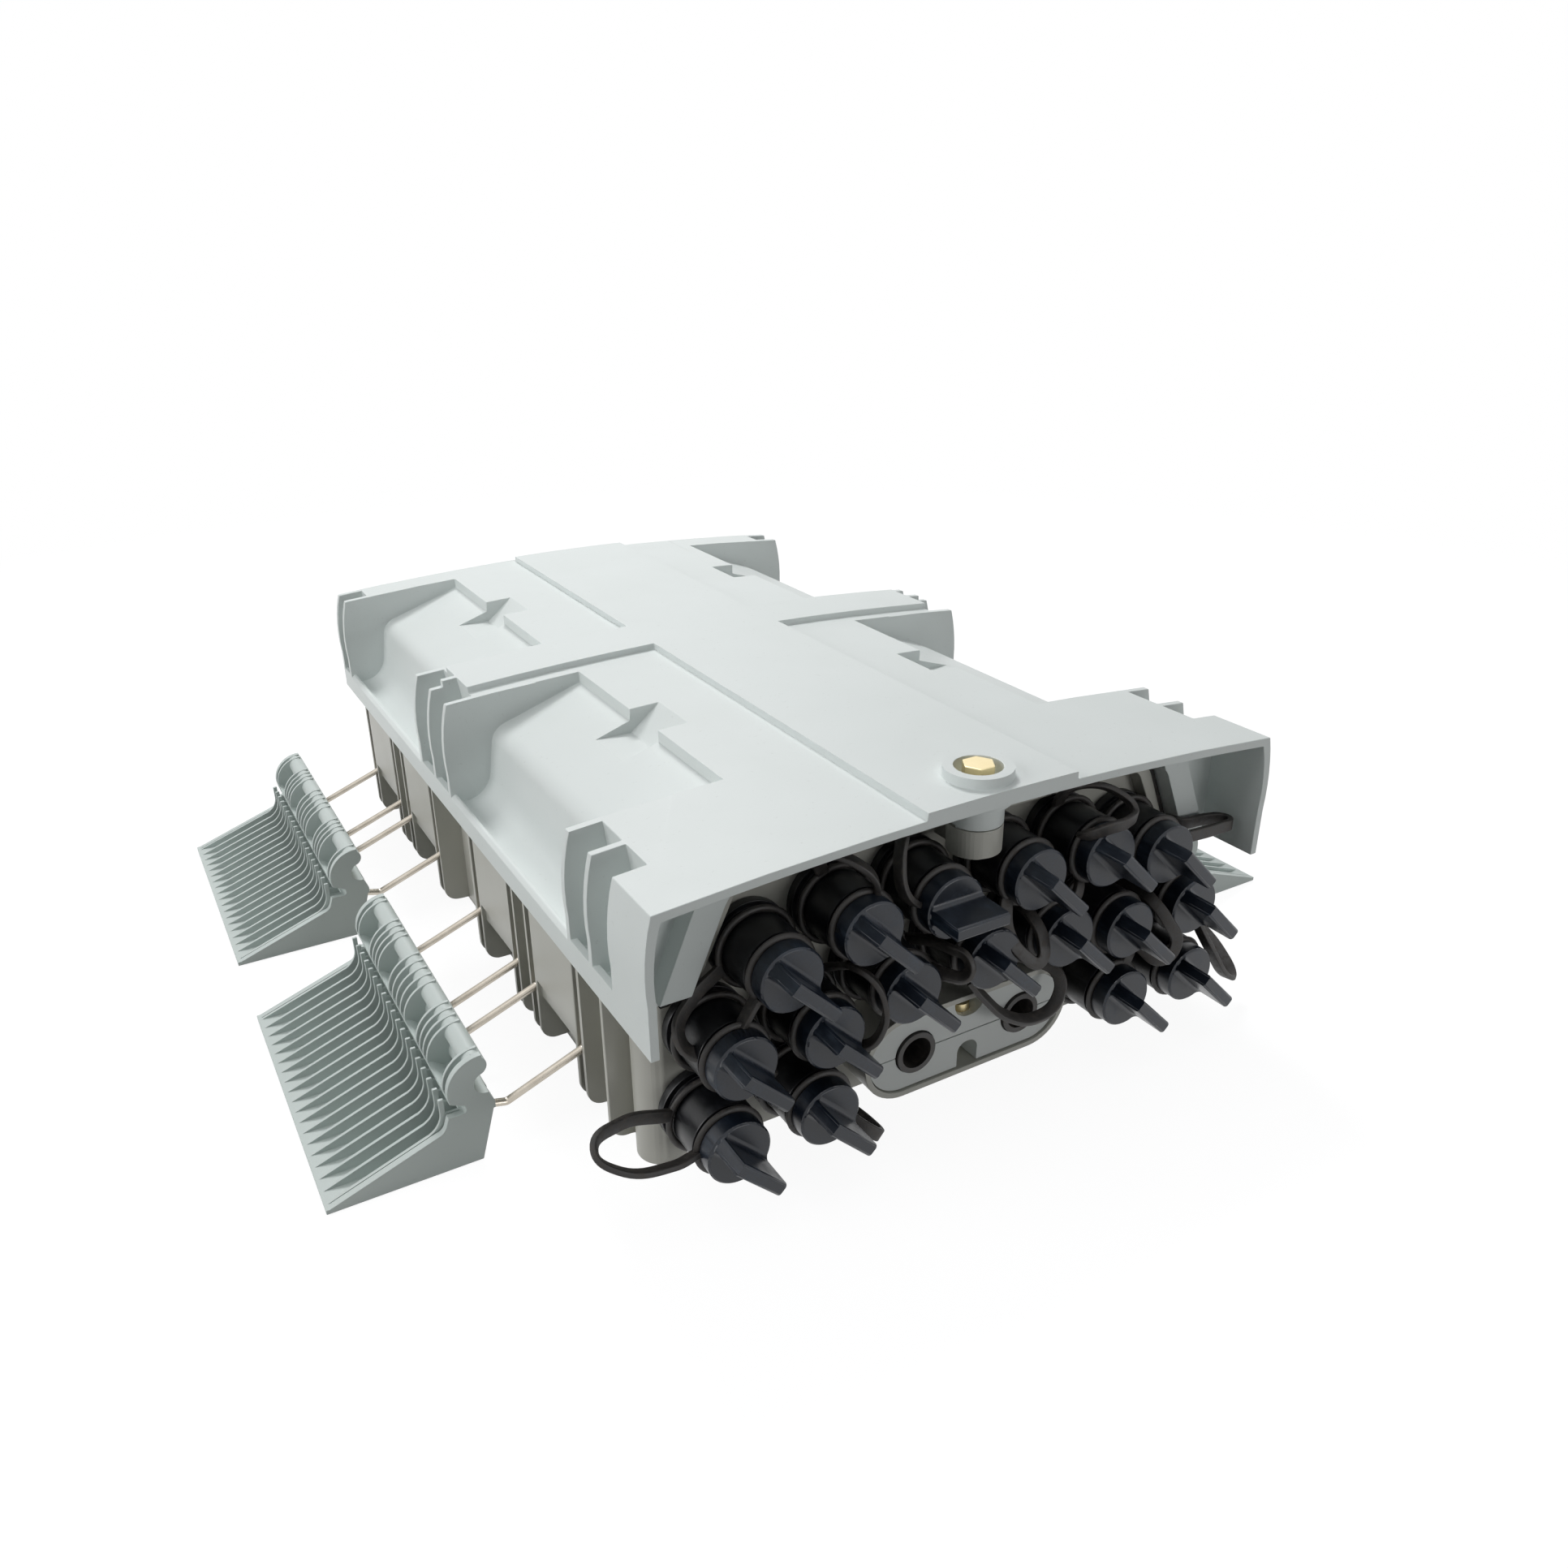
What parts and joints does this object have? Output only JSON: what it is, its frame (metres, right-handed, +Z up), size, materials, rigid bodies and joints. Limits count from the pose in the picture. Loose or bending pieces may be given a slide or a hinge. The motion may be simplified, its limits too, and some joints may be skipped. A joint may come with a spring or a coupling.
{
  "type": "fibre splice box",
  "caption": "Rectangular fibre splice box with a hooded lift-off cover, capped drop ports, an oval feeder entry and comb latches on wire bails that clamp the cover to the base.",
  "frame": {"origin": "centre of the tub's underside, which lies on the surface below", "axes": "+Z up through the cover, -Y out of the port panel, X across the box"},
  "size_m": [0.4308, 0.394, 0.1288],
  "materials": {
    "cover_grey": "fine matt moulded",
    "base_grey": "satin moulded",
    "latch_grey": "satin moulded",
    "wire": "drawn, bright",
    "black_plastic": "satin black moulded",
    "cap_black": "fine matt black",
    "rubber": "matt rubber",
    "entry_grey": "matt moulded",
    "brass": "bright turned",
    "tray_grey": "matt moulded",
    "lid_clear": "smoky clear sheet"
  },
  "bodies": {
    "base": {"adapter_nuts": "black_plastic", "base": "base_grey", "bolt_insert": "brass", "cable_grommets": "rubber", "cover_seal": "rubber", "entry_lower_half": "entry_grey", "entry_screw": "brass", "entry_upper_half": "entry_grey", "feeder_clamp": "black_plastic", "port_adapters": "black_plastic", "splice_tray": "tray_grey", "strap_bottom_1": "rubber", "strap_bottom_2": "rubber", "strap_bottom_3": "rubber", "strap_bottom_4": "rubber", "strap_middle_1": "rubber", "strap_middle_2": "rubber", "strap_middle_3": "rubber", "strap_middle_4": "rubber", "strap_middle_5": "rubber", "strap_middle_6": "rubber", "strap_middle_7": "rubber", "strap_top_1": "rubber", "strap_top_2": "rubber", "strap_top_3": "rubber", "strap_top_4": "rubber", "strap_top_5": "rubber", "strap_top_6": "rubber", "tray_lid": "lid_clear"},
    "cover": {"cover": "cover_grey"},
    "cover_bolt": {"cover_bolt": "brass"},
    "front_left_bails": {"front_left_bails": "wire"},
    "front_left_latch": {"front_left_latch": "latch_grey"},
    "front_right_bails": {"front_right_bails": "wire"},
    "front_right_latch": {"front_right_latch": "latch_grey"},
    "back_left_bails": {"back_left_bails": "wire"},
    "back_left_latch": {"back_left_latch": "latch_grey"},
    "back_right_bails": {"back_right_bails": "wire"},
    "back_right_latch": {"back_right_latch": "latch_grey"},
    "cap_bottom_1": {"cap_bottom_1": "cap_black"},
    "cap_bottom_2": {"cap_bottom_2": "cap_black"},
    "cap_bottom_3": {"cap_bottom_3": "cap_black"},
    "cap_bottom_4": {"cap_bottom_4": "cap_black"},
    "cap_middle_1": {"cap_middle_1": "cap_black"},
    "cap_middle_2": {"cap_middle_2": "cap_black"},
    "cap_middle_3": {"cap_middle_3": "cap_black"},
    "cap_middle_4": {"cap_middle_4": "cap_black"},
    "cap_middle_5": {"cap_middle_5": "cap_black"},
    "cap_middle_6": {"cap_middle_6": "cap_black"},
    "cap_middle_7": {"cap_middle_7": "cap_black"},
    "cap_top_1": {"cap_top_1": "cap_black"},
    "cap_top_2": {"cap_top_2": "cap_black"},
    "cap_top_3": {"cap_top_3": "cap_black"},
    "cap_top_4": {"cap_top_4": "cap_black"},
    "cap_top_5": {"cap_top_5": "cap_black"},
    "cap_top_6": {"cap_top_6": "cap_black"}
  },
  "joints": [
    {"name": "front_left_bail_swing", "type": "hinge", "parent": "base", "child": "front_left_bails", "pos_m": [-0.115, -0.07545, 0.0486], "axis": [0, 1, 0], "range_deg": [0, 115.15]},
    {"name": "front_left_latch_turn", "type": "hinge", "parent": "front_left_bails", "child": "front_left_latch", "pos_m": [-0.1612, -0.07545, 0.0174], "axis": [0, 1, 0], "range_deg": [0, 61]},
    {"name": "front_right_bail_swing", "type": "hinge", "parent": "base", "child": "front_right_bails", "pos_m": [0.115, -0.07545, 0.0486], "axis": [0, -1, 0], "range_deg": [0, 115.15]},
    {"name": "front_right_latch_turn", "type": "hinge", "parent": "front_right_bails", "child": "front_right_latch", "pos_m": [0.1612, -0.07545, 0.0174], "axis": [0, -1, 0], "range_deg": [0, 61]},
    {"name": "back_left_bail_swing", "type": "hinge", "parent": "base", "child": "back_left_bails", "pos_m": [-0.115, 0.09575, 0.0486], "axis": [0, 1, 0], "range_deg": [0, 115.15]},
    {"name": "back_left_latch_turn", "type": "hinge", "parent": "back_left_bails", "child": "back_left_latch", "pos_m": [-0.1612, 0.09575, 0.0174], "axis": [0, 1, 0], "range_deg": [0, 61]},
    {"name": "back_right_bail_swing", "type": "hinge", "parent": "base", "child": "back_right_bails", "pos_m": [0.115, 0.09575, 0.0486], "axis": [0, -1, 0], "range_deg": [0, 115.15]},
    {"name": "back_right_latch_turn", "type": "hinge", "parent": "back_right_bails", "child": "back_right_latch", "pos_m": [0.1612, 0.09575, 0.0174], "axis": [0, -1, 0], "range_deg": [0, 61]},
    {"name": "cover_lift", "type": "slide", "parent": "base", "child": "cover", "axis": [0, 0, 1], "range_m": [0, 0.15]},
    {"name": "cover_bolt_turn", "type": "hinge", "parent": "cover", "child": "cover_bolt", "pos_m": [0, -0.1885, 0.12], "axis": [0, 0, 1], "continuous": true},
    {"name": "cap_bottom_1_twist", "type": "hinge", "parent": "base", "child": "cap_bottom_1", "pos_m": [-0.0994, -0.19, 0.0224], "axis": [0, -1, 0], "range_deg": [0, 90]},
    {"name": "cap_bottom_2_twist", "type": "hinge", "parent": "base", "child": "cap_bottom_2", "pos_m": [-0.0655, -0.19, 0.023], "axis": [0, -1, 0], "range_deg": [0, 90]},
    {"name": "cap_bottom_3_twist", "type": "hinge", "parent": "base", "child": "cap_bottom_3", "pos_m": [0.0655, -0.19, 0.023], "axis": [0, -1, 0], "range_deg": [0, 90]},
    {"name": "cap_bottom_4_twist", "type": "hinge", "parent": "base", "child": "cap_bottom_4", "pos_m": [0.0994, -0.19, 0.0224], "axis": [0, -1, 0], "range_deg": [0, 90]},
    {"name": "cap_middle_1_twist", "type": "hinge", "parent": "base", "child": "cap_middle_1", "pos_m": [-0.0963, -0.19, 0.0535], "axis": [0, -1, 0], "range_deg": [0, 90]},
    {"name": "cap_middle_2_twist", "type": "hinge", "parent": "base", "child": "cap_middle_2", "pos_m": [-0.0638, -0.19, 0.053], "axis": [0, -1, 0], "range_deg": [0, 90]},
    {"name": "cap_middle_3_twist", "type": "hinge", "parent": "base", "child": "cap_middle_3", "pos_m": [-0.0335, -0.19, 0.0593], "axis": [0, -1, 0], "range_deg": [0, 90]},
    {"name": "cap_middle_4_twist", "type": "hinge", "parent": "base", "child": "cap_middle_4", "pos_m": [0, -0.19, 0.0614], "axis": [0, -1, 0], "range_deg": [0, 90]},
    {"name": "cap_middle_5_twist", "type": "hinge", "parent": "base", "child": "cap_middle_5", "pos_m": [0.0335, -0.19, 0.0593], "axis": [0, -1, 0], "range_deg": [0, 90]},
    {"name": "cap_middle_6_twist", "type": "hinge", "parent": "base", "child": "cap_middle_6", "pos_m": [0.0638, -0.19, 0.053], "axis": [0, -1, 0], "range_deg": [0, 90]},
    {"name": "cap_middle_7_twist", "type": "hinge", "parent": "base", "child": "cap_middle_7", "pos_m": [0.0963, -0.19, 0.0535], "axis": [0, -1, 0], "range_deg": [0, 90]},
    {"name": "cap_top_1_twist", "type": "hinge", "parent": "base", "child": "cap_top_1", "pos_m": [-0.0796, -0.19, 0.08], "axis": [0, -1, 0], "range_deg": [0, 90]},
    {"name": "cap_top_2_twist", "type": "hinge", "parent": "base", "child": "cap_top_2", "pos_m": [-0.0497, -0.19, 0.087], "axis": [0, -1, 0], "range_deg": [0, 90]},
    {"name": "cap_top_3_twist", "type": "hinge", "parent": "base", "child": "cap_top_3", "pos_m": [-0.018, -0.19, 0.087], "axis": [0, -1, 0], "range_deg": [0, 90]},
    {"name": "cap_top_4_twist", "type": "hinge", "parent": "base", "child": "cap_top_4", "pos_m": [0.018, -0.19, 0.087], "axis": [0, -1, 0], "range_deg": [0, 90]},
    {"name": "cap_top_5_twist", "type": "hinge", "parent": "base", "child": "cap_top_5", "pos_m": [0.0497, -0.19, 0.087], "axis": [0, -1, 0], "range_deg": [0, 90]},
    {"name": "cap_top_6_twist", "type": "hinge", "parent": "base", "child": "cap_top_6", "pos_m": [0.0796, -0.19, 0.08], "axis": [0, -1, 0], "range_deg": [0, 90]}
  ],
  "couplings": [
    {"joint": "front_left_latch_turn", "follows": "front_left_bail_swing", "ratio": 0.52844},
    {"joint": "front_right_latch_turn", "follows": "front_right_bail_swing", "ratio": 0.52844},
    {"joint": "back_left_latch_turn", "follows": "back_left_bail_swing", "ratio": 0.52844},
    {"joint": "back_right_latch_turn", "follows": "back_right_bail_swing", "ratio": 0.52844}
  ]
}
